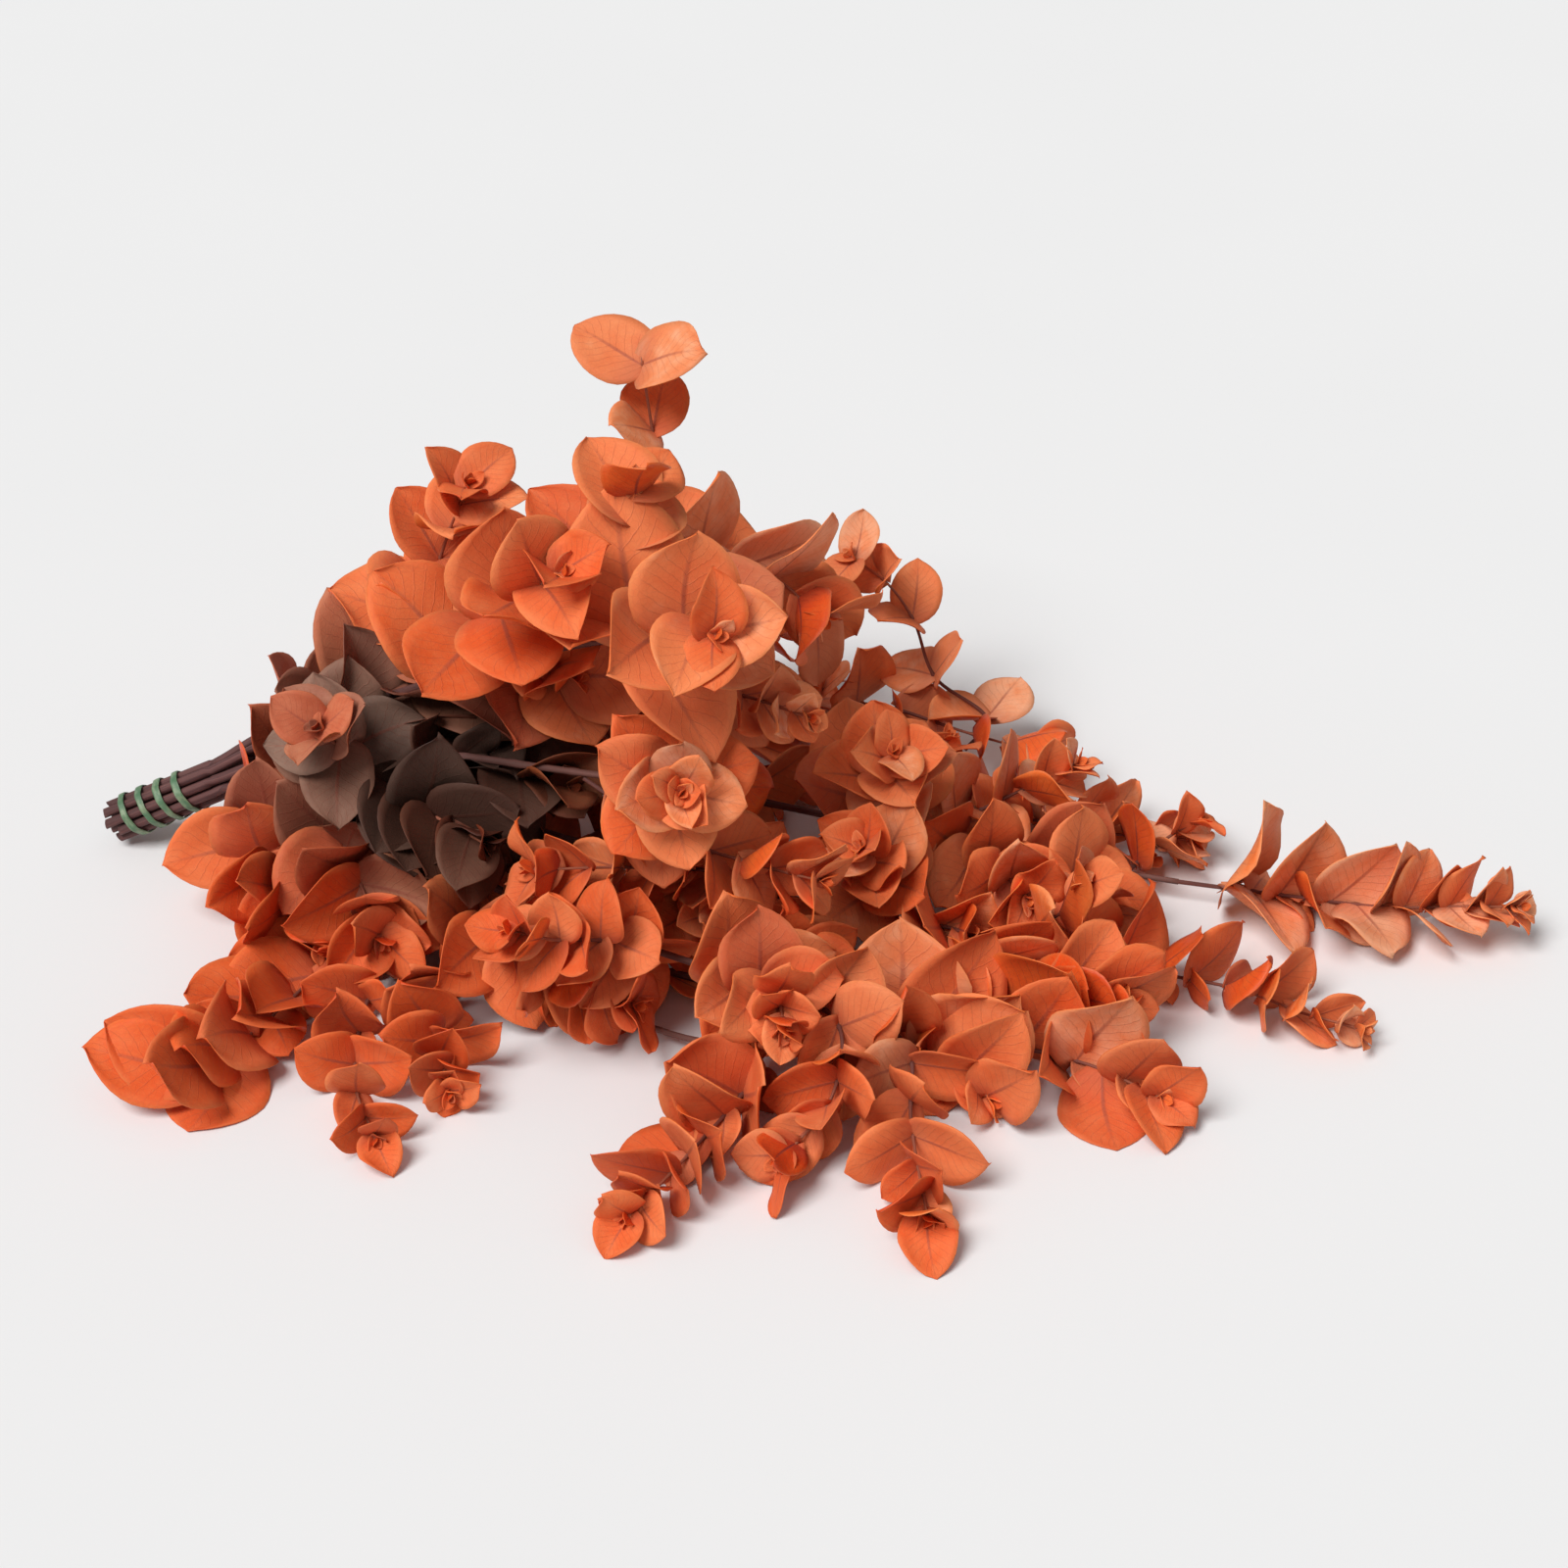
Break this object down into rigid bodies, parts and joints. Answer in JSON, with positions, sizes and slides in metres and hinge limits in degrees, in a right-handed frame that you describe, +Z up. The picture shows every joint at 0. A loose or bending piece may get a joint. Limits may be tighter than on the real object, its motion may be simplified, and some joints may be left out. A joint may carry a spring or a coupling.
{
  "type": "tied eucalyptus bunch",
  "caption": "Bunch of preserved, orange-dyed eucalyptus branches held by a green band at the cut stems, lying on its side with round leaves in opposite pairs.",
  "frame": {"origin": "middle of the bounding box in plan, on the table plane under the bunch", "axes": "+X from the cut stems to the tips, +Y away from the viewer, +Z up from the table"},
  "size_m": [0.6934, 0.4655, 0.2603],
  "materials": {
    "stem_bark": "thin maroon-brown bark, dull, with paler bumps at the leaf scars",
    "dyed_leaf": "supple dyed leaf and twig, satin, orange with duller brown leaves deep in the bunch",
    "tie_band": "soft green band, slightly dusty"
  },
  "bodies": {
    "root": {"stem_01": "stem_bark", "stem_02": "stem_bark", "stem_03": "stem_bark", "stem_04": "stem_bark", "stem_05": "stem_bark", "stem_06": "stem_bark", "stem_07": "stem_bark", "stem_08": "stem_bark", "stem_09": "stem_bark", "stem_10": "stem_bark", "stem_11": "stem_bark", "stem_12": "stem_bark", "shoot_01a": "dyed_leaf", "shoot_01b": "dyed_leaf", "shoot_01c": "dyed_leaf", "shoot_02a": "dyed_leaf", "shoot_02b": "dyed_leaf", "shoot_02c": "dyed_leaf", "shoot_02d": "dyed_leaf", "shoot_03a": "dyed_leaf", "shoot_03b": "dyed_leaf", "shoot_03c": "dyed_leaf", "shoot_04a": "dyed_leaf", "shoot_04b": "dyed_leaf", "shoot_04c": "dyed_leaf", "shoot_05a": "dyed_leaf", "shoot_05b": "dyed_leaf", "shoot_05c": "dyed_leaf", "shoot_05d": "dyed_leaf", "shoot_05e": "dyed_leaf", "shoot_05f": "dyed_leaf", "shoot_06a": "dyed_leaf", "shoot_06b": "dyed_leaf", "shoot_06c": "dyed_leaf", "shoot_07a": "dyed_leaf", "shoot_07b": "dyed_leaf", "shoot_07c": "dyed_leaf", "shoot_07d": "dyed_leaf", "shoot_07e": "dyed_leaf", "shoot_07f": "dyed_leaf", "shoot_07g": "dyed_leaf", "shoot_08a": "dyed_leaf", "shoot_08b": "dyed_leaf", "shoot_08c": "dyed_leaf", "shoot_08d": "dyed_leaf", "shoot_09a": "dyed_leaf", "shoot_09b": "dyed_leaf", "shoot_09c": "dyed_leaf", "shoot_10a": "dyed_leaf", "shoot_10b": "dyed_leaf", "shoot_10c": "dyed_leaf", "shoot_11a": "dyed_leaf", "shoot_11b": "dyed_leaf", "shoot_11c": "dyed_leaf", "shoot_11d": "dyed_leaf", "shoot_12a": "dyed_leaf", "shoot_12b": "dyed_leaf", "shoot_12c": "dyed_leaf", "shoot_12d": "dyed_leaf", "tie_band": "tie_band"}
  },
  "joints": []
}
